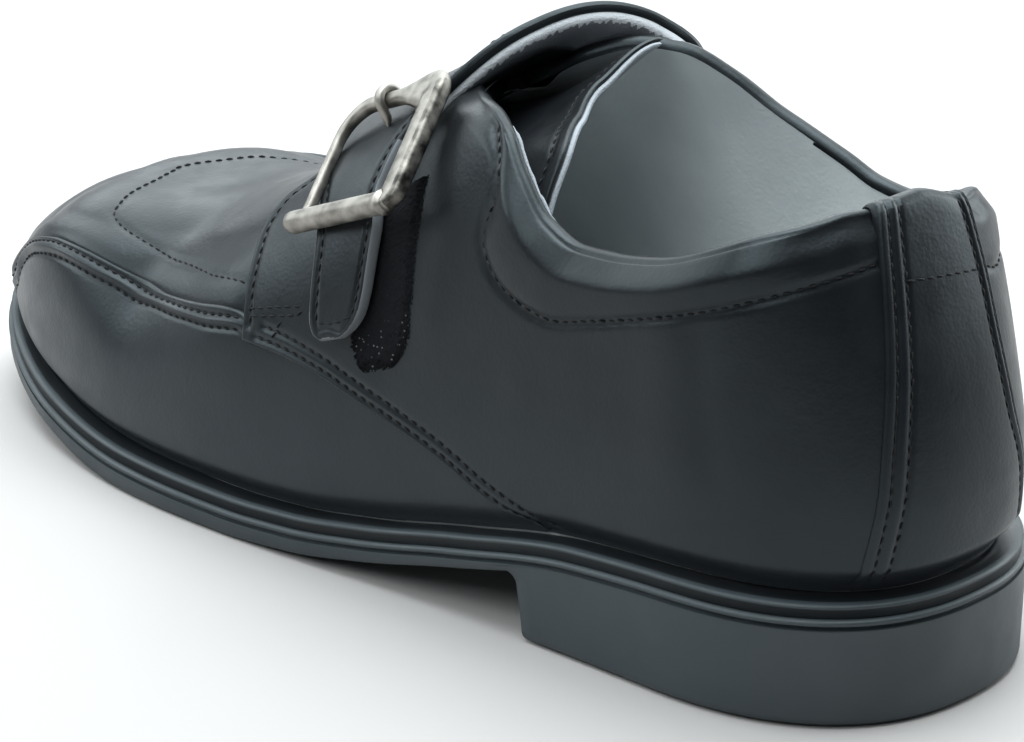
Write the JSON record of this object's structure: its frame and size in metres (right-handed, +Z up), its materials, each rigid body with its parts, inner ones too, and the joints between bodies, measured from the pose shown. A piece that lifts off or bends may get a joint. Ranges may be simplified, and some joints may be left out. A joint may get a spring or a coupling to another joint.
{
  "type": "dress shoe",
  "caption": "Left low-cut black leather strap shoe in a child's size: apron toe, strap with a decorative frame buckle over a hook-and-loop closure, stacked-look heel.",
  "frame": {"origin": "centre of the bounding box's bottom face, on the floor under the shoe", "axes": "+Z up; the toe points to -X and the heel to +X; the lateral (outer) side with the buckle is towards -Y"},
  "size_m": [0.216, 0.0783, 0.0896],
  "materials": {
    "leather": "smooth black corrected leather, semi-gloss",
    "sole": "moulded black rubber, satin",
    "heel": "moulded black rubber, matt, a little greyer than the sole",
    "lining": "light grey lining, matt",
    "pile": "black pile tape, fuzzy and matt",
    "nickel": "antiqued nickel plate, worn bright on the edges"
  },
  "bodies": {
    "root": {"outsole": "sole", "welt": "sole", "heel": "heel", "insole": "lining", "upper": "leather", "tongue": "leather", "quarter_lateral": "leather", "quarter_medial": "leather", "wing_lateral": "leather", "wing_medial": "leather", "backstay": "leather", "pile_patch": "pile", "strap": "leather", "buckle_frame": "nickel", "buckle_prong": "nickel"}
  },
  "joints": []
}
